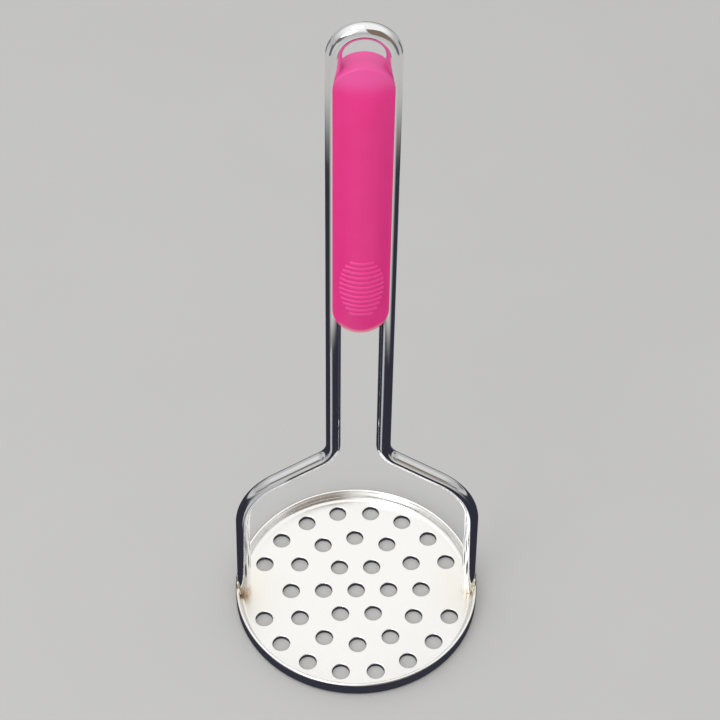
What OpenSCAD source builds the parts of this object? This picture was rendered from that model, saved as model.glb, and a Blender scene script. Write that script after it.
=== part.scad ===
// Hand potato masher. One bent rod makes the hanging loop, the two handle wires, the shoulders and the
// legs. The legs stand in a perforated tray and are welded to its rim, and a moulded grip is
// held between the handle wires. All sizes are in millimetres. The origin is the centre of
// the tray's underside, +Z runs up the handle, and the wires lie in the XZ plane.

/* [Overall] */
// Height from the tray's underside to the top of the hanging loop
total_h = 271; // [240:1:325]
// Outside diameter of the tray
plate_d = 90; // [78:1:108]

/* [Tray] */
// Height of the tray's turned-up rim, from its underside
rim_h = 6; // [4.5:0.1:9]
// Thickness of the tray's perforated floor
plate_t = 1.8; // [1:0.1:2.5]
// Thickness of the rim's wall
rim_t = 1.3; // [0.9:0.1:2]
// Radius of the rounded outer corner under the rim
corner_r = 1.1; // [0.6:0.1:2]
// Diameter of each perforation
hole_d = 6.3; // [4:0.1:8]
// Distance from one ring of perforations to the next
ring_pitch = 12.2; // [10:0.1:15]
// Least width of metal left beside a perforation
land = 2; // [1:0.1:3]

/* [Rod] */
// Diameter of the rod
wire_d = 5; // [4:0.1:6.2]
// Distance between the centre lines of the two handle wires
stem_cc = 17.3; // [14:0.1:24]
// Height at which the handle wires turn out into the shoulders, at the corner of the centre lines
neck_z = 83; // [74:1:100]
// Slope of the shoulders below the level, in degrees
shoulder_slope = 36.5; // [28:0.5:42]
// Centre-line radius of the bends at the neck
neck_bend_r = 10; // [7:0.5:14]
// Centre-line radius of the bends at the tops of the legs
leg_bend_r = 30; // [14:0.5:32]
// How far the legs lean outwards towards their feet, in degrees
leg_splay = 1; // [0:0.1:2]

/* [Welds] */
// Share of the rim wall's thickness that each leg's foot is let into
seat_share = 0.65; // [0:0.05:0.7]
// Gap between a leg and its seat in the rim's wall
weld_gap = 0.15; // [0.1:0.05:0.3]
// Radius of the weld bead round the foot of a leg
bead_r = 3.4; // [3.3:0.1:4]
// Width of the bead on the leg's inner side, at the tray's floor
bead_skirt = 0.3; // [0.2:0.05:0.4]

/* [Grip] */
// Length of the grip
grip_len = 108.5; // [80:0.5:125]
// Open height of the hanging eye, between the top of the grip and the inside of the loop
eye_h = 8; // [6:0.5:20]
// How far the grip reaches past each handle wire's centre line
wrap = 0.35; // [0.2:0.05:0.6]
// Thickness of the grip in front of the wires, along its long edges
lip_t = 0.5; // [0.3:0.1:1.2]
// Bulge of the front and back faces between their long edges
crown = 4.4; // [2.5:0.1:5]
// How far the front and back faces fall away at the two ends
end_drop = 3.2; // [1.5:0.1:3.6]
// Radius of the curve by which the faces fall away at the two ends
end_r = 15; // [10:0.5:20]

/* [Thumb pad] */
// Number of raised ribs on the thumb pad
rib_count = 12; // [6:1:14]
// Distance from one rib to the next
rib_pitch = 2.1; // [1.6:0.1:2.2]
// Width of a rib
rib_w = 1; // [0.6:0.1:1.3]
// Height of a rib above the front face
rib_h = 0.35; // [0.2:0.05:0.6]
// Width of the oval that the ribs fill
pad_w = 13.6; // [9:0.1:14]
// Height of the oval's centre above the grip's lower end
pad_rise = 22.4; // [20:0.5:40]

/* [Hidden] */
$fn = 96;
eps = 0.01;
chrome = [0.80, 0.81, 0.83];
satin_steel = [0.90, 0.91, 0.92];
pink = [0.89, 0.20, 0.52];
heat_tint = [0.62, 0.50, 0.36];

// Tray
plate_r = plate_d / 2;
rim_in_r = plate_r - rim_t;
rim_edge_r = rim_t / 2;
ring_count = floor((rim_in_r - land - hole_d / 2) / ring_pitch);

// Rod: the stem and the leg on the +X side, and the bends between them. The bends are thicker
// than the rod by a hair and the straight lengths run a little way into them, so that they join.
wire_r = wire_d / 2;
bend_swell = 0.02;
bend_wire_r = wire_r + bend_swell;
joint_lap = 0.4;
stem_x = stem_cc / 2;
foot_x = rim_in_r + rim_t * seat_share - weld_gap - wire_r;
loop_z = total_h - bend_wire_r - stem_x;
neck_turn = 90 - shoulder_slope;
leg_turn = neck_turn - leg_splay;
neck_run = neck_bend_r * tan(neck_turn / 2);
leg_run = leg_bend_r * tan(leg_turn / 2);
splay_rise = (neck_z - plate_t + stem_x * tan(shoulder_slope)) * tan(leg_splay);
knee_x = (foot_x - splay_rise) / (1 - tan(shoulder_slope) * tan(leg_splay));
knee_z = neck_z - (knee_x - stem_x) * tan(shoulder_slope);
shoulder_len = (knee_x - stem_x) / cos(shoulder_slope) - neck_run - leg_run;
stem_foot_z = neck_z + neck_run;
leg_len = (knee_z - plate_t) / cos(leg_splay) - leg_run;
leg_bend_x = knee_x + leg_run * sin(leg_splay) - leg_bend_r * cos(leg_splay);
leg_bend_z = knee_z - leg_run * cos(leg_splay) - leg_bend_r * sin(leg_splay);

// Welds
bead_shift = bead_r - wire_r - bead_skirt;

// Grip
grip_w = stem_cc + 2 * wrap;
grip_end_r = grip_w / 2;
grip_top_z = total_h - wire_d - eye_h;
grip_low_z = grip_top_z - grip_len;
edge_y = wire_r + lip_t;
face_y = edge_y + crown;
face_r = (grip_end_r * grip_end_r + crown * crown) / (2 * crown);
face_axis_y = face_r - face_y;
end_run = sqrt(2 * end_r * end_drop - end_drop * end_drop);
end_axis_y = end_r - face_y;

// Thumb pad
pad_z = grip_low_z + pad_rise;
pad_half_h = (rib_count + 1) * rib_pitch / 2;

// ---- Tray ----

// A punched hole at a ring's radius and angle, unless a leg stands there
module perforation(radius, angle) {
    x = radius * cos(angle);
    y = radius * sin(angle);
    clear = norm([abs(x) - foot_x, y]) > wire_r + hole_d / 2 + land / 2;
    if (clear)
        translate([x, y, -eps]) cylinder(d = hole_d, h = plate_t + 2 * eps);
}

// One hole in the middle, then rings of 6, 12, 18 and so on
module perforations() {
    perforation(0, 0);
    for (ring = [1 : ring_count])
        for (i = [0 : 6 * ring - 1])
            perforation(ring * ring_pitch, i * 60 / ring);
}

// Half section of the tray, from its centre out to the rim
module tray_section() {
    square([plate_r - corner_r, plate_t]);
    intersection() {
        translate([plate_r - corner_r, corner_r]) circle(r = corner_r);
        translate([plate_r - corner_r, 0]) square([corner_r, corner_r]);
    }
    translate([rim_in_r, corner_r]) square([rim_t, rim_h - rim_edge_r - corner_r]);
    translate([rim_in_r - corner_r, corner_r]) square([rim_t, plate_t - corner_r]);
    translate([rim_in_r + rim_edge_r, rim_h - rim_edge_r]) circle(r = rim_edge_r);
}

// The seat in the rim's wall for the foot of the leg on the +X side
module leg_seat() {
    leg_bar(wire_r + weld_gap, rim_h);
}

module mashing_plate() {
    color(satin_steel)
        difference() {
            rotate_extrude() tray_section();
            perforations();
            leg_seat();
            mirror([1, 0, 0]) leg_seat();
        }
}

// ---- Rod ----

// A bend of the rod in the XZ plane, round a centre, from one angle through another. It is thicker
// than the rod by a hair, so that the straight lengths end inside it.
module rod_bend(x, z, radius, from, turn) {
    translate([x, 0, z])
        rotate([90, 0, 0])
            rotate([0, 0, from])
                rotate_extrude(angle = turn)
                    translate([radius, 0]) circle(r = bend_wire_r);
}

// A straight length of a handle wire
module rod_length(x, low_z, high_z) {
    translate([x, 0, low_z]) cylinder(r = wire_r, h = high_z - low_z);
}

// A straight bar along the leg on the +X side, cut level with the tray's floor
module leg_bar(radius, length) {
    difference() {
        translate([foot_x, 0, plate_t])
            rotate([0, -leg_splay, 0])
                translate([0, 0, -plate_t]) cylinder(r = radius, h = plate_t + length);
        translate([foot_x - wire_d, -wire_d, -plate_t]) cube([2 * wire_d, 2 * wire_d, 2 * plate_t]);
    }
}

// The stem, neck bend, shoulder, leg bend and leg on the +X side
module rod_side() {
    rod_length(stem_x, stem_foot_z - joint_lap, loop_z + joint_lap);
    rod_bend(stem_x + neck_bend_r, stem_foot_z, neck_bend_r, 180, neck_turn);
    translate([stem_x, 0, neck_z])
        rotate([0, 90 + shoulder_slope, 0])
            translate([0, 0, neck_run - joint_lap])
                cylinder(r = wire_r, h = shoulder_len + 2 * joint_lap);
    rod_bend(leg_bend_x, leg_bend_z, leg_bend_r, leg_splay, leg_turn);
    leg_bar(wire_r, leg_len + joint_lap);
}

module wire_frame() {
    color(chrome) {
        rod_bend(0, loop_z, stem_x, 0, 180);
        rod_side();
        mirror([1, 0, 0]) rod_side();
    }
}

// ---- Welds ----

// The bead between a leg's foot, the tray's floor and the rim, on the +X side
module weld_bead() {
    difference() {
        intersection() {
            translate([foot_x + bead_shift, 0, plate_t]) sphere(r = bead_r);
            translate([0, 0, plate_t]) cylinder(r = rim_in_r, h = bead_r + eps, $fn = 256);
        }
        leg_bar(wire_r, 2 * bead_r);
    }
}

module weld_right() {
    color(heat_tint) weld_bead();
}

module weld_left() {
    color(heat_tint) mirror([1, 0, 0]) weld_bead();
}

// ---- Grip ----

// Front outline of the grip, with full round ends, drawn as X and Z
module grip_outline() {
    translate([-grip_end_r, grip_low_z + grip_end_r]) square([grip_w, grip_len - grip_w]);
    translate([0, grip_low_z + grip_end_r]) circle(r = grip_end_r);
    translate([0, grip_top_z - grip_end_r]) circle(r = grip_end_r);
}

// Two arcs that meet at the sides and give the depth of the grip, drawn as X and Y
module face_section() {
    intersection() {
        translate([0, face_axis_y]) circle(r = face_r);
        translate([0, -face_axis_y]) circle(r = face_r);
    }
}

// Fall of both faces towards one end, drawn as Y and Z
module end_section(z) {
    intersection() {
        translate([end_axis_y, z]) circle(r = end_r);
        translate([-end_axis_y, z]) circle(r = end_r);
        translate([-face_y, z - end_run]) square([2 * face_y, 2 * end_run]);
    }
}

// Side outline of the grip, drawn as Y and Z
module side_section() {
    translate([-face_y, grip_low_z + end_run]) square([2 * face_y, grip_len - 2 * end_run]);
    end_section(grip_low_z + end_run);
    end_section(grip_top_z - end_run);
}

module grip_blank() {
    intersection() {
        rotate([90, 0, 0])
            linear_extrude(height = 2 * face_y + 2, center = true) grip_outline();
        translate([0, 0, grip_low_z]) linear_extrude(height = grip_len) face_section();
        rotate([90, 0, 90])
            linear_extrude(height = grip_w + 2, center = true) side_section();
    }
}

// A raised rib across the front face, cut to the width of the pad's oval at its height
module rib(z) {
    half_w = pad_w / 2 * sqrt(1 - pow(z / pad_half_h, 2));
    intersection() {
        translate([0, face_axis_y, pad_z + z - rib_w / 2])
            cylinder(r = face_r + rib_h, h = rib_w);
        translate([-half_w, -face_y - 2 * rib_h, pad_z + z - rib_w])
            cube([2 * half_w, crown + 2 * rib_h, 2 * rib_w]);
    }
}

module grip() {
    color(pink)
        difference() {
            union() {
                grip_blank();
                for (i = [0 : rib_count - 1])
                    rib((i - (rib_count - 1) / 2) * rib_pitch);
            }
            for (side = [-1, 1])
                translate([side * stem_x, 0, grip_low_z - 1])
                    cylinder(r = wire_r, h = grip_len + 2);
        }
}

wire_frame();
mashing_plate();
grip();
weld_left();
weld_right();
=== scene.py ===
import math

import bmesh
import bpy
from mathutils import Matrix, Quaternion, Vector


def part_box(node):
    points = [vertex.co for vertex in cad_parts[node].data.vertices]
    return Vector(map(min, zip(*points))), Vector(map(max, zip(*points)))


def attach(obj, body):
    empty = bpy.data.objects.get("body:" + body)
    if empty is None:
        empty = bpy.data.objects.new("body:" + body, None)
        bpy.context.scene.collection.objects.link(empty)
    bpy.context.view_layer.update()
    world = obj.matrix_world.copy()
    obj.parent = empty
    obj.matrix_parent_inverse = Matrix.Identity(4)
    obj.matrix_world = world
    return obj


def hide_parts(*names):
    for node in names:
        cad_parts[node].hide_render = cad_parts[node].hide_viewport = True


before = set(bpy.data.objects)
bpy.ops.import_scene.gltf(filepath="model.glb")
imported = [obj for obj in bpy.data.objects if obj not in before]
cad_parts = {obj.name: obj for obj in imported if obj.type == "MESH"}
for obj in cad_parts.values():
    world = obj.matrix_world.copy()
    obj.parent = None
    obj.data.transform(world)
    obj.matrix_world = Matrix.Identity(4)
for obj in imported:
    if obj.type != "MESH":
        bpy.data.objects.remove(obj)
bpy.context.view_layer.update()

# ---- Camera ----
# Stands in front of the masher and a little to its left, and looks down on it by about half a
# right angle, through a long lens.
camera_aim = Vector((0.00012, 0, 0.13128))
camera_distance = 0.66357
camera_azimuth = math.radians(-1.931)
camera_elevation = math.radians(48.166)
camera_roll = math.radians(0.880)
camera_lens_mm = 101.115
camera_sensor_mm = 36

camera_back = Vector((
    math.sin(camera_azimuth) * math.cos(camera_elevation),
    -math.cos(camera_azimuth) * math.cos(camera_elevation),
    math.sin(camera_elevation),
))
camera = bpy.data.objects.new("camera", bpy.data.cameras.new("camera"))
bpy.context.scene.collection.objects.link(camera)
bpy.context.scene.camera = camera
camera.data.lens = camera_lens_mm
camera.data.sensor_width = camera_sensor_mm
camera.location = camera_aim + camera_distance * camera_back
camera.rotation_mode = "QUATERNION"
camera.rotation_quaternion = (-camera_back).to_track_quat("-Z", "Y") @ Quaternion((0, 0, 1), camera_roll)

# ---- Rod ----
# One length of 5 mm steel rod, bent cold into the hanging loop, the two handle wires, the
# shoulders and the legs, then chrome plated. Its feet stand on the tray's floor against the rim,
# where the welding heat has tinted the plating.
rod_r = 0.0025
rod_sides = 64
rod_low, rod_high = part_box("wire_frame")
foot_x = rod_high.x - rod_r
tray_floor_z = rod_low.z
stem_x = 0.00865
neck_z = 0.083
shoulder_slope = math.radians(36.5)
neck_bend_r = 0.010
leg_bend_r = 0.030
leg_splay = math.radians(1.0)
bend_step = math.radians(1.5)
sharp_edge = 40
weld_out = 0.0016

chrome = (0.88, 0.885, 0.90, 1)
straw_heat = (0.90, 0.84, 0.70, 1)
gold_heat = (0.64, 0.43, 0.24, 1)
brown_heat = (0.34, 0.19, 0.10, 1)

neck_turn = math.pi / 2 - shoulder_slope
leg_run = leg_bend_r * math.tan((neck_turn - leg_splay) / 2)
loop_z = rod_high.z - stem_x - rod_r
stem_foot_z = neck_z + neck_bend_r * math.tan(neck_turn / 2)
splay_rise = (neck_z - tray_floor_z + stem_x * math.tan(shoulder_slope)) * math.tan(leg_splay)
knee_x = (foot_x - splay_rise) / (1 - math.tan(shoulder_slope) * math.tan(leg_splay))
knee_z = neck_z - (knee_x - stem_x) * math.tan(shoulder_slope)
leg_bend_x = knee_x + leg_run * math.sin(leg_splay) - leg_bend_r * math.cos(leg_splay)
leg_bend_z = knee_z - leg_run * math.cos(leg_splay) - leg_bend_r * math.sin(leg_splay)


def arc(centre_x, centre_z, radius, start, end):
    """Points along an arc, as pairs of a distance across and a height."""
    steps = max(2, round(abs(end - start) / bend_step))
    angles = [start + (end - start) * i / steps for i in range(steps + 1)]
    return [(centre_x + radius * math.cos(a), centre_z + radius * math.sin(a)) for a in angles]


def new_piece(name, verts, edges, faces):
    """A mesh object at the origin."""
    mesh = bpy.data.meshes.new(name)
    mesh.from_pydata(verts, edges, faces)
    piece = bpy.data.objects.new(name, mesh)
    bpy.context.scene.collection.objects.link(piece)
    return piece


def keep_result(piece):
    """Makes what the modifiers give into the plain mesh, and takes them off."""
    seen = piece.evaluated_get(bpy.context.evaluated_depsgraph_get())
    piece.data = bpy.data.meshes.new_from_object(seen)
    piece.modifiers.clear()


def fill(tree, node, values):
    """Fills a node's inputs with values, or joins them to other nodes."""
    for name, value in values.items():
        if isinstance(value, bpy.types.NodeSocket):
            tree.links.new(value, node.inputs[name])
        else:
            node.inputs[name].default_value = value


def add(tree, kind, values=None, **settings):
    """A node with its settings and its filled inputs."""
    made = tree.nodes.new(kind)
    for name, value in settings.items():
        setattr(made, name, value)
    fill(tree, made, values or {})
    return made


def math_node(tree, operation, *values):
    """The result of a Math node."""
    return add(tree, "ShaderNodeMath", dict(enumerate(values)), operation=operation).outputs[0]


def vector_node(tree, operation, *values):
    """The result of a Vector Math node: a number for a length or a distance, or else a vector."""
    made = add(tree, "ShaderNodeVectorMath", dict(enumerate(values)), operation=operation)
    return made.outputs["Value" if operation in ("LENGTH", "DISTANCE") else "Vector"]


def combine(tree, x=0.0, y=0.0, z=0.0):
    """A vector from three numbers."""
    return add(tree, "ShaderNodeCombineXYZ", {0: x, 1: y, 2: z}).outputs[0]


def separate(tree, vector):
    """The three numbers of a vector."""
    return add(tree, "ShaderNodeSeparateXYZ", {0: vector}).outputs


def object_place(tree):
    """A surface point's place on its object."""
    return add(tree, "ShaderNodeTexCoord").outputs["Object"]


def noise(tree, place, scale, detail, roughness=0.5):
    """Soft noise between 0 and 1."""
    values = {"Vector": place, "Scale": scale, "Detail": detail, "Roughness": roughness}
    return add(tree, "ShaderNodeTexNoise", values).outputs["Fac"]


def ramp(tree, value, start, end, low=0.0, high=1.0, shape="LINEAR"):
    """A value that goes from low to high as another goes from start to end."""
    values = {"Value": value, "From Min": start, "From Max": end, "To Min": low, "To Max": high}
    return add(tree, "ShaderNodeMapRange", values, interpolation_type=shape).outputs[0]


def mix_colors(tree, share, first, second):
    """Two colours mixed by the second one's share."""
    return add(tree, "ShaderNodeMix", {"Factor": share, 6: first, 7: second}, data_type="RGBA").outputs[2]


def mix_values(tree, share, first, second):
    """Two numbers mixed by the second one's share."""
    return add(tree, "ShaderNodeMix", {"Factor": share, 2: first, 3: second}, data_type="FLOAT").outputs[0]


def bump(tree, height, strength, distance):
    """A normal from a pattern of heights."""
    values = {"Strength": strength, "Distance": distance, "Height": height}
    return add(tree, "ShaderNodeBump", values).outputs[0]


def effect(tree, group, **values):
    """An effect's node group placed in a material: its outputs."""
    named = {name.replace("_", " ").capitalize(): value for name, value in values.items()}
    return add(tree, "ShaderNodeGroup", named, node_tree=group).outputs


def new_tree(name, kind, inputs, outputs):
    """A node group with named inputs, given as name: (kind, value), and outputs, as name: kind."""
    tree = bpy.data.node_groups.new(name, kind)
    for label, (sort, value) in inputs.items():
        socket = tree.interface.new_socket(label, in_out="INPUT", socket_type="NodeSocket" + sort)
        if value is not None:
            socket.default_value = value
    for label, sort in outputs.items():
        tree.interface.new_socket(label, in_out="OUTPUT", socket_type="NodeSocket" + sort)
    return tree, add(tree, "NodeGroupInput").outputs, add(tree, "NodeGroupOutput")


def end_tree(tree, out, geometry, material):
    """The end of a Geometry Nodes tree: real geometry in its material."""
    real = add(tree, "GeometryNodeRealizeInstances", {0: geometry}).outputs[0]
    made = add(tree, "GeometryNodeSetMaterial", {"Geometry": real, "Material": material}).outputs[0]
    fill(tree, out, {"Geometry": made})


def run_tree(piece, tree):
    """Runs a Geometry Nodes tree on a piece with the tree's sizes, and keeps the plain mesh."""
    modifier = piece.modifiers.new(tree.name, "NODES")
    modifier.node_group = tree
    for socket in tree.interface.items_tree:
        if socket.in_out == "INPUT" and socket.socket_type != "NodeSocketGeometry":
            modifier[socket.identifier] = socket.default_value
    keep_result(piece)


def new_material(name):
    """A material with a Principled shader, ready for nodes: the material, its tree and the shader."""
    material = bpy.data.materials.new(name)
    material.use_nodes = True
    tree = material.node_tree
    return material, tree, tree.nodes["Principled BSDF"]


# Heat tint: straw, then brown, within a few millimetres of each weld, in a ragged edge
tint_group, tint_in, tint_out = new_tree(
    "heat tint", "ShaderNodeTree",
    {"Leg distance": ("Float", foot_x + weld_out), "Floor height": ("Float", tray_floor_z),
     "Left reach": ("Float", 0.0092), "Right reach": ("Float", 0.0056),
     "Raggedness": ("Float", 0.7)},
    {"Tint": "Color", "Amount": "Float", "Distance": "Float"},
)
tint_place = object_place(tint_group)
tint_xyz = separate(tint_group, tint_place)
tint_across = math_node(tint_group, "ABSOLUTE", tint_xyz[0])
tint_side = math_node(tint_group, "LESS_THAN", tint_xyz[0], 0.0)
tint_point = combine(tint_group, tint_across, tint_xyz[1], tint_xyz[2])
tint_centre = combine(tint_group, x=tint_in["Leg distance"], z=tint_in["Floor height"])
tint_away = vector_node(tint_group, "DISTANCE", tint_point, tint_centre)
tint_reach = ramp(tint_group, tint_side, 0.0, 1.0, tint_in["Right reach"], tint_in["Left reach"])
tint_share = math_node(tint_group, "DIVIDE", tint_away, tint_reach)
tint_noise = noise(tint_group, tint_place, scale=420.0, detail=4.0)
tint_ragged = math_node(tint_group, "MULTIPLY_ADD", tint_noise, tint_in["Raggedness"], tint_share)
tint_near = ramp(tint_group, tint_ragged, start=0.45, end=1.35, low=1.0, high=0.0)
tint_ramp = add(tint_group, "ShaderNodeValToRGB", {"Fac": tint_near})
tint_ramp.color_ramp.elements[0].color = straw_heat
tint_ramp.color_ramp.elements[1].color = brown_heat
tint_ramp.color_ramp.elements.new(0.55).color = gold_heat
fill(tint_group, tint_out, {"Tint": tint_ramp.outputs["Color"], "Amount": tint_near, "Distance": tint_away})

# Handling marks: faint smears and hairlines that dull a polished surface here and there
marks_group, marks_in, marks_out = new_tree(
    "handling marks", "ShaderNodeTree",
    {"Smear size": ("Float", 90.0), "Clean roughness": ("Float", 0.05), "Marked roughness": ("Float", 0.14)},
    {"Roughness": "Float", "Height": "Float"},
)
marks_place = object_place(marks_group)
marks_smear = noise(marks_group, marks_place, marks_in["Smear size"], detail=5.0, roughness=0.6)
marks_fine = noise(marks_group, marks_place, scale=2600.0, detail=3.0)
marks_rough = ramp(marks_group, marks_smear, start=0.35, end=0.75,
                   low=marks_in["Clean roughness"], high=marks_in["Marked roughness"])
fill(marks_group, marks_out, {"Roughness": marks_rough, "Height": marks_fine})

# Chrome: drawn lengthways, so the surface waves a little along the rod
rod_wave_scale = (260, 260, 45)
rod_tinted_roughness = 0.30
rod_chrome, rod_tree, rod_shader = new_material("rod_chrome")
rod_marks = effect(rod_tree, marks_group)
rod_tint = effect(rod_tree, tint_group)
rod_color = mix_colors(rod_tree, rod_tint["Amount"], chrome, rod_tint["Tint"])
rod_rough = mix_values(rod_tree, rod_tint["Amount"], rod_marks["Roughness"], rod_tinted_roughness)
rod_stretch = add(rod_tree, "ShaderNodeMapping", {"Vector": object_place(rod_tree), "Scale": rod_wave_scale})
rod_wave = noise(rod_tree, rod_stretch.outputs[0], scale=1.0, detail=2.0)
fill(rod_tree, rod_shader, {"Base Color": rod_color, "Roughness": rod_rough, "Metallic": 1.0,
                            "Normal": bump(rod_tree, rod_wave, strength=0.05, distance=0.0002)})

# The centre line of the right half from the foot up, and the left half as its mirror
right_line = (
    [(foot_x, tray_floor_z)]
    + arc(leg_bend_x, leg_bend_z, leg_bend_r, leg_splay, neck_turn)
    + arc(stem_x + neck_bend_r, stem_foot_z, neck_bend_r, math.pi + neck_turn, math.pi)
    + arc(0, loop_z, stem_x, 0, math.pi / 2)
)
left_line = [(-x, z) for x, z in reversed(right_line[:-1])]
rod_line = [(x, 0, z) for x, z in right_line + left_line]

sweep_tree, sweep_in, sweep_out = new_tree(
    "bent rod", "GeometryNodeTree",
    {"Geometry": ("Geometry", None), "Rod radius": ("Float", rod_r), "Sides": ("Int", rod_sides)},
    {"Geometry": "Geometry"},
)
sweep_line = add(sweep_tree, "GeometryNodeMeshToCurve", {"Mesh": sweep_in["Geometry"]}).outputs[0]
sweep_round = add(sweep_tree, "GeometryNodeCurvePrimitiveCircle",
                  {"Resolution": sweep_in["Sides"], "Radius": sweep_in["Rod radius"]}).outputs[0]
sweep_tube = add(sweep_tree, "GeometryNodeCurveToMesh",
                 {"Curve": sweep_line, "Profile Curve": sweep_round, "Fill Caps": True}).outputs[0]
end_tree(sweep_tree, sweep_out, sweep_tube, rod_chrome)

rod = new_piece("bent_rod", rod_line, [(i, i + 1) for i in range(len(rod_line) - 1)], [])
run_tree(rod, sweep_tree)


def smooth_under(piece, sharp_degrees, merge_distance=1e-7):
    """Merges doubled points, turns the faces outwards, and shades smoothly up to an angle."""
    work = bmesh.new()
    work.from_mesh(piece.data)
    bmesh.ops.remove_doubles(work, verts=work.verts, dist=merge_distance)
    bmesh.ops.recalc_face_normals(work, faces=work.faces)
    for face in work.faces:
        face.smooth = True
    for edge in work.edges:
        edge.smooth = edge.calc_face_angle(0) < math.radians(sharp_degrees)
    work.to_mesh(piece.data)
    work.free()


smooth_under(rod, sharp_edge)
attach(rod, "root")
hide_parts("wire_frame")

# ---- Tray ----
# A round tray pressed from sheet, with a turned-up rim and rings of punched holes, plated like
# the rod. Its floor is satin, and its rim and the rolled edges of its holes are brighter.
rim_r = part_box("mashing_plate")[1].x
rim_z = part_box("mashing_plate")[1].z
rim_wall = 0.0013
outer_corner_r = 0.0011
inner_corner_r = 0.0021
tray_steps = 256
hole_r = 0.00315
hole_roll = 0.0004
lip_break = 0.0001
hole_steps = 44
ring_pitch = 0.0122
ring_count = 3
hole_land = 0.001
punch_reach = 0.001
seat_r = rod_r + 0.00015
seat_deep = 0.012
seat_steps = 64
sharp_punch_edge = 60

plating = (0.94, 0.935, 0.92, 1)
warm_plating = (0.90, 0.86, 0.76, 1)
rim_roughness = 0.22
tray_tint_strength = 0.8
shine_from = 0.0024
shine_full = 0.0012
roll_depth = 0.0002

rim_in_r = rim_r - rim_wall


def turned(name, profile, steps):
    """A closed turned shape: a profile of radius and height, with a flat face at each end."""
    turns = [math.tau * i / steps for i in range(steps)]
    verts = [(r * math.cos(a), r * math.sin(a), z) for r, z in profile for a in turns]
    faces = [tuple(range(steps)), tuple(range(len(verts) - steps, len(verts)))]
    for ring in range(len(profile) - 1):
        low, high = ring * steps, (ring + 1) * steps
        for i in range(steps):
            j = (i + 1) % steps
            faces.append((low + i, low + j, high + j, high + i))
    return new_piece(name, verts, [], faces)


tray_metal, tray_tree, tray_shader = new_material("tray_plating")
tray_xyz = separate(tray_tree, object_place(tray_tree))
tray_out = vector_node(tray_tree, "LENGTH", combine(tray_tree, tray_xyz[0], tray_xyz[1]))
tray_rim = ramp(tray_tree, tray_out, rim_in_r - shine_from, rim_in_r - shine_full)
tray_sunk = ramp(tray_tree, tray_xyz[2], tray_floor_z, tray_floor_z - roll_depth)
tray_bright = math_node(tray_tree, "MAXIMUM", tray_rim, tray_sunk)
tray_dull = math_node(tray_tree, "SUBTRACT", 1.0, tray_bright)
tray_marks = effect(tray_tree, marks_group, smear_size=60.0, clean_roughness=0.27, marked_roughness=0.36)
tray_tint = effect(tray_tree, tint_group, left_reach=0.0056, right_reach=0.0036)
tray_rough = mix_values(tray_tree, tray_bright, tray_marks["Roughness"], rim_roughness)
tray_amount = math_node(tray_tree, "MULTIPLY", tray_tint["Amount"], tray_tint_strength)
tray_color = mix_colors(tray_tree, tray_amount, plating, tray_tint["Tint"])
tray_warmth = ramp(tray_tree, tray_tint["Distance"], start=0.004, end=0.024, low=0.55, high=0.0,
                   shape="SMOOTHSTEP")
tray_warm = mix_colors(tray_tree, tray_warmth, tray_color, warm_plating)
tray_grain = math_node(tray_tree, "MULTIPLY", tray_marks["Height"], tray_dull)
fill(tray_tree, tray_shader, {"Base Color": tray_warm, "Roughness": tray_rough, "Metallic": 1.0,
                              "Normal": bump(tray_tree, tray_grain, strength=0.05, distance=0.00005)})

tray_profile = (
    arc(rim_r - outer_corner_r, outer_corner_r, outer_corner_r, -math.pi / 2, 0)
    + arc(rim_r - rim_wall / 2, rim_z - rim_wall / 2, rim_wall / 2, 0, math.pi)
    + arc(rim_in_r - inner_corner_r, tray_floor_z + inner_corner_r, inner_corner_r, 0, -math.pi / 2)
)
tray_profile = tray_profile[::2] + [tray_profile[-1]]  # every second point is fine enough
tray = turned("perforated_tray", tray_profile, tray_steps)
smooth_under(tray, sharp_edge)

hole_lip = arc(hole_r + hole_roll, tray_floor_z - hole_roll, hole_roll, math.pi, math.radians(98))
hole_lip = hole_lip[::5]  # every fifth point is fine enough
punch_profile = (
    [(hole_r + lip_break, -punch_reach), (hole_r + lip_break, lip_break / 2), (hole_r, 2 * lip_break)]
    + hole_lip
    + [(hole_r + hole_roll, tray_floor_z + punch_reach)]
)
punch = turned("punch", punch_profile, hole_steps)
smooth_under(punch, sharp_punch_edge)

holes_tree, holes_in, holes_out = new_tree(
    "punched holes", "GeometryNodeTree",
    {"Geometry": ("Geometry", None), "Ring pitch": ("Float", ring_pitch), "Leg distance": ("Float", foot_x),
     "Clearance": ("Float", rod_r + hole_r + hole_land), "Punch": ("Object", punch),
     "Seat radius": ("Float", seat_r), "Seat depth": ("Float", seat_deep), "Seat lean": ("Float", leg_splay),
     "Floor height": ("Float", tray_floor_z)},
    {"Geometry": "Geometry"},
)


def joined(tree, parts):
    """Several geometries as one."""
    made = add(tree, "GeometryNodeJoinGeometry")
    for part in parts:
        tree.links.new(part, made.inputs[0])
    return made.outputs[0]


def moved(tree, geometry, place, turn=(0, 0, 0)):
    """A geometry turned, then moved."""
    values = {"Geometry": geometry, "Translation": place, "Rotation": turn}
    return add(tree, "GeometryNodeTransform", values).outputs[0]


def cut_away(tree, geometry, cutters):
    """A geometry with cutters taken out of it."""
    values = {0: geometry, 1: cutters}
    return add(tree, "GeometryNodeMeshBoolean", values, operation="DIFFERENCE", solver="EXACT").outputs[0]


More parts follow.
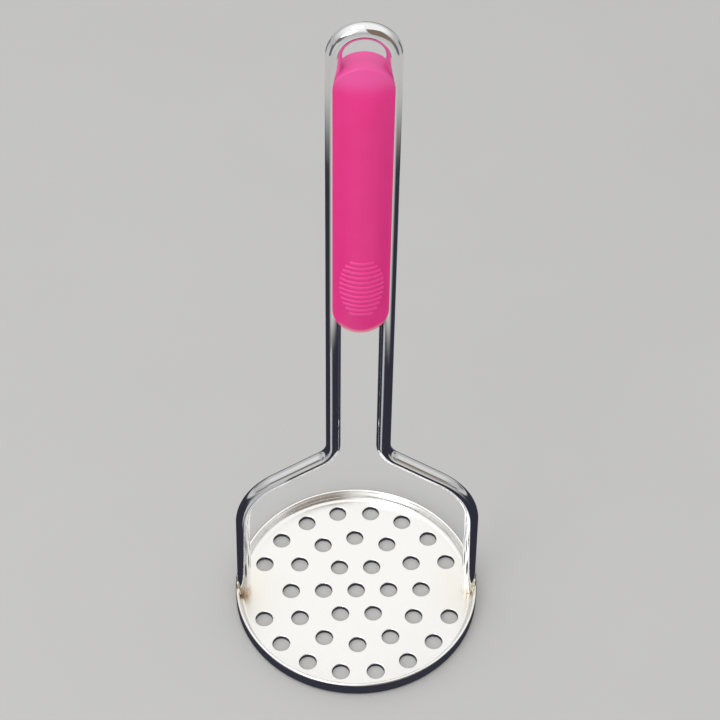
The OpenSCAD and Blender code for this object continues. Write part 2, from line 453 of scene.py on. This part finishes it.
hole_rings = [add(holes_tree, "GeometryNodeMeshLine", {"Count": 1}).outputs[0]]
for ring in range(1, ring_count + 1):
    ring_radius = math_node(holes_tree, "MULTIPLY", holes_in["Ring pitch"], float(ring))
    ring_spots = add(holes_tree, "GeometryNodeMeshCircle", {"Vertices": 6 * ring, "Radius": ring_radius})
    hole_rings.append(ring_spots.outputs[0])
hole_spots = joined(holes_tree, hole_rings)
hole_xyz = separate(holes_tree, add(holes_tree, "GeometryNodeInputPosition").outputs[0])
hole_across = math_node(holes_tree, "ABSOLUTE", hole_xyz[0])
hole_off = math_node(holes_tree, "SUBTRACT", hole_across, holes_in["Leg distance"])
hole_away = vector_node(holes_tree, "LENGTH", combine(holes_tree, hole_off, hole_xyz[1]))
hole_blocked = add(holes_tree, "FunctionNodeCompare", {0: hole_away, 1: holes_in["Clearance"]},
                   data_type="FLOAT", operation="LESS_THAN").outputs[0]
holes_kept = add(holes_tree, "GeometryNodeDeleteGeometry",
                 {"Geometry": hole_spots, "Selection": hole_blocked}, domain="POINT").outputs[0]
hole_punch = add(holes_tree, "GeometryNodeObjectInfo", {"Object": holes_in["Punch"]}).outputs["Geometry"]
punches = add(holes_tree, "GeometryNodeInstanceOnPoints",
              {"Points": holes_kept, "Instance": hole_punch}).outputs[0]
punches_real = add(holes_tree, "GeometryNodeRealizeInstances", {0: punches}).outputs[0]

seat_cutter = add(holes_tree, "GeometryNodeMeshCylinder",
                  {"Vertices": seat_steps, "Radius": holes_in["Seat radius"],
                   "Depth": holes_in["Seat depth"]}).outputs[0]
seat_half = math_node(holes_tree, "MULTIPLY", holes_in["Seat depth"], 0.5)
seat_standing = moved(holes_tree, seat_cutter, combine(holes_tree, z=seat_half))
seats = []
for side in (-1.0, 1.0):
    seat_across = math_node(holes_tree, "MULTIPLY", holes_in["Leg distance"], side)
    seat_lean = math_node(holes_tree, "MULTIPLY", holes_in["Seat lean"], -side)
    seats.append(moved(holes_tree, seat_standing,
                       combine(holes_tree, x=seat_across, z=holes_in["Floor height"]),
                       combine(holes_tree, y=seat_lean)))
tray_seated = cut_away(holes_tree, holes_in["Geometry"], joined(holes_tree, seats))
tray_punched = cut_away(holes_tree, tray_seated, punches_real)
end_tree(holes_tree, holes_out, tray_punched, tray_metal)
run_tree(tray, holes_tree)
bpy.data.objects.remove(punch)
smooth_under(tray, sharp_edge)
tray_normals = tray.modifiers.new("flat floor", "WEIGHTED_NORMAL")
tray_normals.keep_sharp = True
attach(tray, "root")
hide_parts("mashing_plate")

# ---- Welds ----
# Each leg is welded to the tray's floor and rim. The metal has run into the gap between the leg
# and the rim and stands as a small uneven bead on the rim's top edge, dull and browned by heat.
bead_cell = 0.00016
bead_soften = 6
weld_steel = (0.85, 0.80, 0.68, 1)
bead_lumps = [
    (Vector((foot_x + 0.0006, 0, tray_floor_z)), Vector((0.0024, 0.00265, 0.0003))),
    (Vector((rim_in_r + 0.0001, -0.0024, rim_z - 0.0012)), Vector((0.0008, 0.0012, 0.0016))),
    (Vector((rim_in_r + 0.0001, 0.0026, rim_z - 0.0010)), Vector((0.0008, 0.0014, 0.0015))),
    (Vector((rim_in_r + 0.0005, -0.0004, rim_z + 0.0010)), Vector((0.0008, 0.0018, 0.0022))),
    (Vector((rim_in_r + 0.0005, 0.0002, rim_z + 0.0033)), Vector((0.0006, 0.0010, 0.0026))),
]

weld_metal, weld_tree, weld_shader = new_material("weld_metal")
weld_marks = effect(weld_tree, marks_group, smear_size=300.0, clean_roughness=0.34, marked_roughness=0.50)
weld_tint = effect(weld_tree, tint_group, left_reach=0.0058, right_reach=0.0045)
weld_color = mix_colors(weld_tree, weld_tint["Amount"], weld_steel, weld_tint["Tint"])
weld_bump = bump(weld_tree, weld_marks["Height"], strength=0.12, distance=0.0001)
fill(weld_tree, weld_shader, {"Base Color": weld_color, "Roughness": weld_marks["Roughness"],
                              "Metallic": 0.9, "Normal": weld_bump})

for side, node_name in ((-1, "weld_left"), (1, "weld_right")):
    work = bmesh.new()
    for centre, size in bead_lumps:
        place = Matrix.Translation((side * centre.x, centre.y, centre.z)) @ Matrix.Diagonal((*size, 1))
        bmesh.ops.create_icosphere(work, subdivisions=4, radius=1, matrix=place)
    bead = new_piece(node_name + "_bead", [], [], [])
    work.to_mesh(bead.data)
    work.free()
    bead_skin = bead.modifiers.new("one skin", "REMESH")
    bead_skin.mode = "VOXEL"
    bead_skin.voxel_size = bead_cell
    bead_soft = bead.modifiers.new("soften", "SMOOTH")
    bead_soft.iterations = bead_soften
    keep_result(bead)
    bead.data.materials.append(weld_metal)
    smooth_under(bead, sharp_degrees=180)
    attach(bead, "root")
    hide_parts(node_name)

# ---- Grip ----
# A solid plastic moulding between the handle wires, which lie in grooves down its sides. Both
# faces are crowned and fall away towards the round ends, and ribs on the front mark the thumb's
# place. Its ribs, top end and lower edge are painted paler: a painted sheen of the light from
# above on the top end, painted highlights on the ribs and a painted reflection of the bright
# tray on the lower edge.
grip_low, grip_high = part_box("grip")
grip_half_w = grip_high.x
grip_edge_y = 0.0030
grip_crown = 0.0043
grip_round = 0.0005
grip_foot_round = 0.0007
grip_top_share = 0.22
grip_foot_share = 0.42
grip_fall = 0.022
side_steps = 64
end_steps = 40
flat_steps = 16
edge_turns = [math.radians(a) for a in (0, 15, 30, 45, 60, 75, 90)]
near_middle = 0.9999
grip_merge = 3e-6
grip_sharp_edge = 35

pink = (0.92, 0.015, 0.25, 1)
clouded_pink = (0.98, 0.026, 0.30, 1)
# The next three pinks are painted light, not the plastic's colour: the top end's painted sheen, the ribs'
# painted highlight and the lower edge's painted reflection of the tray
top_sheen_pink = (0.95, 0.090, 0.39, 1)
rib_highlight_pink = (0.93, 0.052, 0.33, 1)
lip_reflection_pink = (0.95, 0.34, 0.42, 1)

top_centre_z = grip_high.z - grip_half_w
foot_centre_z = grip_low.z + grip_half_w


def grip_depth(x, z):
    """Distance of the crowned face from the plane of the wires."""
    top_run = max(0.0, (z - (grip_high.z - grip_fall)) / grip_fall)
    foot_run = max(0.0, (grip_low.z + grip_fall - z) / grip_fall)
    share = 1 - (1 - grip_top_share) * top_run ** 2 - (1 - grip_foot_share) * foot_run ** 2
    return grip_edge_y + grip_crown * share * (1 - (x / grip_half_w) ** 2)


def grip_loop(radius):
    """Points round the grip's front outline, shrunk to a radius at its ends, as X and Z."""
    turns = [math.pi / end_steps * i for i in range(end_steps + 1)]
    drop = (top_centre_z - foot_centre_z) / side_steps
    top = [(radius * math.cos(a), top_centre_z + radius * math.sin(a)) for a in turns]
    foot = [(-radius * math.cos(a), foot_centre_z - radius * math.sin(a)) for a in turns]
    left = [(-radius, top_centre_z - i * drop) for i in range(1, side_steps)]
    right = [(radius, foot_centre_z + i * drop) for i in range(1, side_steps)]
    return top + left + foot + right


def grip_ring(face_side, flat_share, edge_turn):
    """One ring of points on a face: round the edge by an angle, then inwards by a share of the width."""
    ring = []
    for (middle_x, middle_z), (out_x, out_z) in zip(grip_loop(0), grip_loop(1)):
        way_x, way_z = out_x - middle_x, out_z - middle_z
        to_foot = max(0.0, (foot_centre_z - middle_z - grip_half_w * way_z) / grip_half_w)
        edge_r = grip_round + (grip_foot_round - grip_round) * to_foot ** 2
        flat_radius = (grip_half_w - edge_r) * (1 - flat_share)
        radius = flat_radius + (edge_r * math.cos(edge_turn) if flat_share == 0 else 0)
        depth = grip_depth(middle_x + flat_radius * way_x, middle_z + flat_radius * way_z)
        depth -= edge_r * (1 - math.sin(edge_turn))
        ring.append((middle_x + radius * way_x, face_side * depth, middle_z + radius * way_z))
    return ring


flat_shares = [i / flat_steps for i in range(1, flat_steps)] + [near_middle]
grip_rings = [(0, turn) for turn in edge_turns] + [(share, math.pi / 2) for share in flat_shares]
loop_size = len(grip_loop(1))
back_start = len(grip_rings) * loop_size
grip_verts, grip_faces = [], []
for face_side in (-1, 1):
    for flat_share, edge_turn in grip_rings:
        grip_verts += grip_ring(face_side, flat_share, edge_turn)
for sheet_start in (0, back_start):
    for row in range(len(grip_rings) - 1):
        start = sheet_start + row * loop_size
        for i in range(loop_size):
            j = (i + 1) % loop_size
            grip_faces.append((start + i, start + j, start + loop_size + j, start + loop_size + i))
for i in range(loop_size):
    j = (i + 1) % loop_size
    grip_faces.append((i, j, back_start + j, back_start + i))
grip = new_piece("grip_moulding", grip_verts, [], grip_faces)
smooth_under(grip, grip_sharp_edge, grip_merge)

grip_plastic, grip_tree, grip_shader = new_material("grip_plastic")
grip_place = object_place(grip_tree)
grip_z = separate(grip_tree, grip_place)[2]
grip_cloud = noise(grip_tree, grip_place, scale=160.0, detail=4.0)
grip_grain = noise(grip_tree, grip_place, scale=2200.0, detail=3.0)
# Painted sheen: the top end is made paler where it faces the light from above
painted_top_sheen = ramp(grip_tree, grip_z, start=grip_high.z - 0.010, end=grip_high.z - 0.003,
                    shape="SMOOTHSTEP")
# Painted highlight: the ribs are made paler where they catch the light from above
painted_rib_highlight = add(grip_tree, "ShaderNodeAttribute", attribute_name="rib").outputs["Fac"]
# Painted reflection of the bright tray: a pale band along the lower edge of the outline
grip_from_foot = vector_node(grip_tree, "SUBTRACT", grip_place, (0, 0, foot_centre_z))
grip_across = vector_node(grip_tree, "MULTIPLY", grip_from_foot, (1, 0, 1))
grip_outline_near = ramp(grip_tree, vector_node(grip_tree, "LENGTH", grip_across),
                     start=grip_half_w - 0.0024, end=grip_half_w - 0.0008, shape="SMOOTHSTEP")
grip_below = ramp(grip_tree, grip_z, start=grip_low.z + 0.0050, end=grip_low.z + 0.0018)
painted_lip_reflection = math_node(grip_tree, "MULTIPLY", grip_outline_near, grip_below)
grip_color = mix_colors(grip_tree, grip_cloud, pink, clouded_pink)
# The painted sheen, highlights and reflection are laid over the pink here
for painted_share, painted_color in ((painted_top_sheen, top_sheen_pink), (painted_rib_highlight, rib_highlight_pink),
                                   (painted_lip_reflection, lip_reflection_pink)):
    grip_color = mix_colors(grip_tree, painted_share, grip_color, painted_color)
fill(grip_tree, grip_shader, {
    "Base Color": grip_color,
    "Roughness": ramp(grip_tree, grip_cloud, 0.0, 1.0, low=0.42, high=0.56),
    "Normal": bump(grip_tree, grip_grain, strength=0.3, distance=0.00008),
    "Coat Weight": 0.45, "Coat Roughness": 0.28, "Specular IOR Level": 0.35,
})

groove_steps = 48
groove_long = 0.3
rib_count = 12
rib_pitch = 0.0021
rib_w = 0.00125
rib_h = 0.0004
rib_points = 41
rib_sides = 14
pad_w = 0.0136
pad_z = grip_low.z + 0.0224
pad_span = rib_pitch * (rib_count + 1)
pad_away = 0.05

ribs_tree, ribs_in, ribs_out = new_tree(
    "grooves and thumb ribs", "GeometryNodeTree",
    {"Geometry": ("Geometry", None), "Wire distance": ("Float", stem_x), "Groove radius": ("Float", rod_r),
     "Ribs": ("Int", rib_count), "Rib pitch": ("Float", rib_pitch), "Rib width": ("Float", rib_w),
     "Rib height": ("Float", rib_h), "Pad width": ("Float", pad_w), "Pad span": ("Float", pad_span),
     "Pad height": ("Float", pad_z)},
    {"Geometry": "Geometry"},
)
groove_round = add(ribs_tree, "GeometryNodeMeshCylinder",
                   {"Vertices": groove_steps, "Radius": ribs_in["Groove radius"],
                    "Depth": groove_long}).outputs[0]
grooves = []
for side in (-1.0, 1.0):
    groove_x = math_node(ribs_tree, "MULTIPLY", ribs_in["Wire distance"], side)
    grooves.append(moved(ribs_tree, groove_round, combine(ribs_tree, x=groove_x, z=ribs_in["Pad height"])))
grooved = cut_away(ribs_tree, ribs_in["Geometry"], joined(ribs_tree, grooves))

# Each rib is a line as long as the oval pad is wide at its height, laid on the crowned face
rib_gaps = math_node(ribs_tree, "SUBTRACT", ribs_in["Ribs"], 1.0)
rib_run = math_node(ribs_tree, "MULTIPLY", rib_gaps, ribs_in["Rib pitch"])
rib_half_run = math_node(ribs_tree, "MULTIPLY", rib_run, 0.5)
rib_first = math_node(ribs_tree, "SUBTRACT", ribs_in["Pad height"], rib_half_run)
rib_spots = add(ribs_tree, "GeometryNodeMeshLine",
                {"Count": ribs_in["Ribs"], "Start Location": combine(ribs_tree, z=rib_first),
                 "Offset": combine(ribs_tree, z=ribs_in["Rib pitch"])}).outputs[0]
rib_z = separate(ribs_tree, add(ribs_tree, "GeometryNodeInputPosition").outputs[0])[2]
pad_half_span = math_node(ribs_tree, "MULTIPLY", ribs_in["Pad span"], 0.5)
rib_rise = math_node(ribs_tree, "SUBTRACT", rib_z, ribs_in["Pad height"])
rib_up = math_node(ribs_tree, "DIVIDE", rib_rise, pad_half_span)
rib_up_squared = math_node(ribs_tree, "MULTIPLY", rib_up, rib_up)
rib_share = math_node(ribs_tree, "SQRT", math_node(ribs_tree, "SUBTRACT", 1.0, rib_up_squared))
rib_long = math_node(ribs_tree, "MULTIPLY", rib_share, ribs_in["Pad width"])
rib_line = add(ribs_tree, "GeometryNodeCurvePrimitiveLine",
               {"Start": (-0.5, 0, 0), "End": (0.5, 0, 0)}).outputs[0]
rib_fine = add(ribs_tree, "GeometryNodeResampleCurve", {"Curve": rib_line, "Count": rib_points}).outputs[0]
rib_lines = add(ribs_tree, "GeometryNodeInstanceOnPoints",
                {"Points": rib_spots, "Instance": rib_fine,
                 "Scale": combine(ribs_tree, rib_long, 1.0, 1.0)}).outputs[0]
rib_real = add(ribs_tree, "GeometryNodeRealizeInstances", {0: rib_lines}).outputs[0]
rib_from = vector_node(ribs_tree, "ADD", add(ribs_tree, "GeometryNodeInputPosition").outputs[0],
                       (0, -pad_away, 0))
rib_hit = add(ribs_tree, "GeometryNodeRaycast",
              {"Target Geometry": ribs_in["Geometry"], "Source Position": rib_from,
               "Ray Direction": (0, 1, 0)}).outputs["Hit Position"]
rib_laid = add(ribs_tree, "GeometryNodeSetPosition", {"Geometry": rib_real, "Position": rib_hit}).outputs[0]

# Along its length a rib keeps its thickness, then rounds off at both ends
rib_along = add(ribs_tree, "GeometryNodeSplineParameter").outputs["Factor"]
rib_off = math_node(ribs_tree, "ABSOLUTE", math_node(ribs_tree, "MULTIPLY_ADD", rib_along, 2.0, -1.0))
rib_ending = math_node(ribs_tree, "POWER", rib_off, 9.0)
rib_taper = math_node(ribs_tree, "SQRT", math_node(ribs_tree, "SUBTRACT", 1.0, rib_ending))
rib_sized = add(ribs_tree, "GeometryNodeSetCurveRadius", {"Curve": rib_laid, "Radius": rib_taper}).outputs[0]
rib_upright = add(ribs_tree, "GeometryNodeSetCurveNormal", {"Curve": rib_sized}).outputs[0]
rib_round = add(ribs_tree, "GeometryNodeCurvePrimitiveCircle",
                {"Resolution": rib_sides, "Radius": 1.0}).outputs[0]
rib_half_w = math_node(ribs_tree, "MULTIPLY", ribs_in["Rib width"], 0.5)
rib_shape = add(ribs_tree, "GeometryNodeTransform",
                {"Geometry": rib_round,
                 "Scale": combine(ribs_tree, ribs_in["Rib height"], rib_half_w, 1.0)}).outputs[0]
ribs = add(ribs_tree, "GeometryNodeCurveToMesh",
           {"Curve": rib_upright, "Profile Curve": rib_shape, "Fill Caps": True}).outputs[0]
ribs_marked = add(ribs_tree, "GeometryNodeStoreNamedAttribute",
                  {"Geometry": ribs, "Name": "rib", "Value": 1.0},
                  data_type="FLOAT", domain="POINT").outputs[0]
end_tree(ribs_tree, ribs_out, joined(ribs_tree, [grooved, ribs_marked]), grip_plastic)
run_tree(grip, ribs_tree)
smooth_under(grip, grip_sharp_edge)
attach(grip, "root")
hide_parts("grip")

# ---- Studio ----
# A pale floor, a soft pale room and soft boxes. Chrome shows what stands round it, so glowing
# cards that only reflections see paint dark and bright reflections into it: a dark card on the
# floor and others standing or lying further off, where a studio's black and grey flags would stand.
circle_steps = 96
floor_r = 6.0
floor_z = -0.00005
pale_floor = (0.515, 0.515, 0.51, 1)
paler_floor = (0.535, 0.535, 0.53, 1)


def circle(radius, height):
    """Points round a flat circle."""
    turns = [math.tau * i / circle_steps for i in range(circle_steps)]
    return [(radius * math.cos(a), radius * math.sin(a), height) for a in turns]


floor = new_piece("floor", circle(floor_r, floor_z), [], [tuple(range(circle_steps))])
floor_paint, floor_tree, floor_shader = new_material("floor_paint")
floor_cloud = noise(floor_tree, object_place(floor_tree), scale=14.0, detail=3.0)
fill(floor_tree, floor_shader, {"Base Color": mix_colors(floor_tree, floor_cloud, pale_floor, paler_floor),
                                "Roughness": 1.0, "Specular IOR Level": 0.0})
floor.data.materials.append(floor_paint)


def reflection_card(name, verts, glow):
    """A flat glowing card that only reflections see: its material's tree and shader."""
    made = new_piece(name, verts, [], [tuple(range(len(verts)))])
    for seen_by in ("camera", "diffuse", "shadow", "transmission", "volume_scatter"):
        setattr(made, "visible_" + seen_by, False)
    material, tree, shader = new_material(name)
    fill(tree, shader, {"Base Color": (0, 0, 0, 1), "Specular IOR Level": 0.0,
                        "Emission Color": (*glow, 1), "Emission Strength": 1.0})
    made.data.materials.append(material)
    return tree, shader


card_z = 0.0003
half_wedge_steps = 8


def wedge(inner_r, outer_r, towards, spread):
    """Corners of a ring's sector on the floor, turned from the front towards +X by degrees."""
    steps = range(2 * half_wedge_steps + 1)
    turns = [math.radians(towards + spread * (i / half_wedge_steps - 1)) for i in steps]
    inner = [(inner_r * math.sin(a), -inner_r * math.cos(a), card_z) for a in turns]
    outer = [(outer_r * math.sin(a), -outer_r * math.cos(a), card_z) for a in reversed(turns)]
    return inner + outer


# The dark card, a painted reflection: nearly black, bright in front beyond the tray, and fading into the
# floor
dark_card_r = 0.40
dark_card_z = 0.0001
painted_reflection_dark = (0.030, 0.031, 0.045, 1)
painted_reflection_bright = (0.68, 0.66, 0.62, 1)
painted_reflection_edge = (0.56, 0.55, 0.53, 1)
dark_card_tree, dark_card_shader = reflection_card("dark_flag", circle(dark_card_r, dark_card_z), (0, 0, 0))
dark_card_place = object_place(dark_card_tree)
dark_card_y = separate(dark_card_tree, dark_card_place)[1]
dark_card_out = vector_node(dark_card_tree, "LENGTH", dark_card_place)
dark_card_ahead = math_node(dark_card_tree, "DIVIDE", dark_card_y, dark_card_out)
dark_card_turn = ramp(dark_card_tree, dark_card_ahead, start=-0.40, end=-0.99, shape="SMOOTHSTEP")
dark_card_reach = ramp(dark_card_tree, dark_card_out, start=0.125, end=0.155, shape="SMOOTHSTEP")
dark_card_front = math_node(dark_card_tree, "MULTIPLY", dark_card_turn, dark_card_reach)
dark_card_fade = ramp(dark_card_tree, dark_card_out, start=0.245, end=0.31, shape="SMOOTHSTEP")
dark_card_inner = mix_colors(dark_card_tree, dark_card_front, painted_reflection_dark, painted_reflection_bright)
painted_reflection_glow = mix_colors(dark_card_tree, dark_card_fade, dark_card_inner, painted_reflection_edge)
fill(dark_card_tree, dark_card_shader, {"Emission Color": painted_reflection_glow})

# Painted reflections: glowing lines and patches that only the chrome shows
reflection_card("left_line", wedge(0.055, 0.135, towards=-37, spread=13), (0.50, 0.51, 0.52))
reflection_card("left_haze", wedge(0.088, 0.135, towards=-18, spread=5), (0.12, 0.12, 0.13))
reflection_card("back_line", wedge(0.055, 0.24, towards=142, spread=7), (0.13, 0.14, 0.16))
for towards in (48, 112, 166, 232, 308):
    reflection_card("far_flag_%d" % towards, wedge(0.42, 2.4, towards, spread=13), (0.14, 0.142, 0.15))

# Painted reflections: a brown patch and a grey patch standing off in front, seen only in the chrome
brown_corners = [(0.10, -0.75, 0.12), (0.95, -0.55, 0.12), (0.80, -0.50, 1.05), (0.06, -0.65, 1.15)]
grey_corners = [(-0.85, -0.60, 0.12), (-0.36, -0.72, 0.12), (-0.36, -0.72, 0.48), (-0.85, -0.60, 0.48)]
reflection_card("brown_card", brown_corners, (0.22, 0.165, 0.125))
reflection_card("grey_card", grey_corners, (0.17, 0.16, 0.15))

room_low = (0.50, 0.50, 0.49, 1)
room_high = (1.0, 0.995, 0.985, 1)
world = bpy.data.worlds.new("room")
bpy.context.scene.world = world
world.use_nodes = True
room_tree = world.node_tree
room_up = separate(room_tree, add(room_tree, "ShaderNodeTexCoord").outputs["Generated"])[2]
room_share = ramp(room_tree, room_up, start=0.05, end=0.75, shape="SMOOTHSTEP")
room_light = mix_colors(room_tree, room_share, room_low, room_high)
fill(room_tree, room_tree.nodes["Background"], {"Color": room_light, "Strength": 1.0})


def soft_box(name, place, aim, width, height, radiance):
    """A rectangular soft box of an even brightness."""
    lamp = bpy.data.lights.new(name, "AREA")
    lamp.shape = "RECTANGLE"
    lamp.size = width
    lamp.size_y = height
    lamp.energy = radiance * math.pi * width * height
    box = bpy.data.objects.new(name, lamp)
    bpy.context.scene.collection.objects.link(box)
    box.location = place
    box.rotation_euler = (Vector(aim) - Vector(place)).to_track_quat("-Z", "Y").to_euler()


soft_box("top_box", (-0.30, 0.0, 1.20), aim=(0, 0, 0.1), width=0.55, height=0.50, radiance=1.6)
soft_box("front_box", (-0.60, -0.85, 0.80), aim=(0, 0, 0.15), width=0.6, height=0.6, radiance=2.3)

bpy.context.scene.view_settings.view_transform = "Standard"
